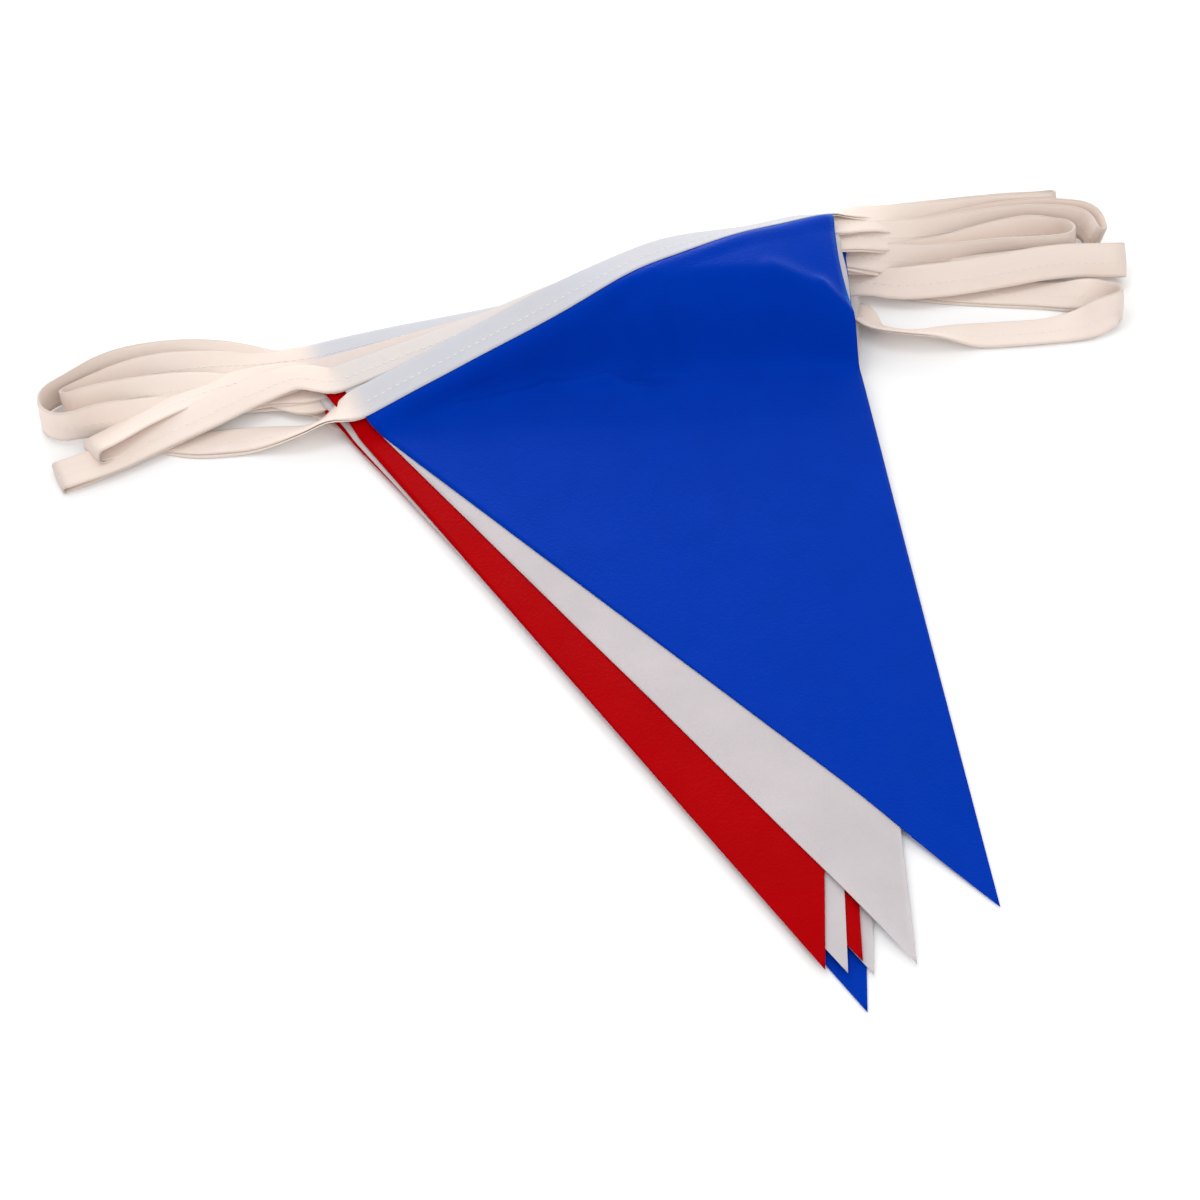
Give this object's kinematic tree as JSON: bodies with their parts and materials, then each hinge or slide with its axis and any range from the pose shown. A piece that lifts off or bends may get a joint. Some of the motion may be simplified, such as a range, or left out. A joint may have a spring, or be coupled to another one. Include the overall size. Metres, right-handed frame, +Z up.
{
  "type": "fabric bunting",
  "caption": "Bunting gathered in a zigzag pile: triangular blue, white and red pennants in a folded white tape, whose loose turns lie at both sides.",
  "frame": {"origin": "middle of the pile's plan, on the surface it lies on", "axes": "+Z up, +X to the right end of the top pennant's tape, the pennants' tips towards -Y"},
  "size_m": [0.4221, 0.394, 0.0426],
  "materials": {
    "film_blue": "satin film",
    "film_white": "satin film, slightly see-through",
    "film_red": "satin film",
    "tape_weave": "plain weave"
  },
  "bodies": {
    "root": {"pennant_1": "film_blue", "pennant_2": "film_white", "pennant_3": "film_red", "pennant_4": "film_blue", "pennant_5": "film_white", "pennant_6": "film_red", "pennant_7": "film_blue", "pennant_8": "film_white", "pennant_9": "film_red", "pennant_10": "film_blue", "tape": "tape_weave"}
  },
  "joints": []
}
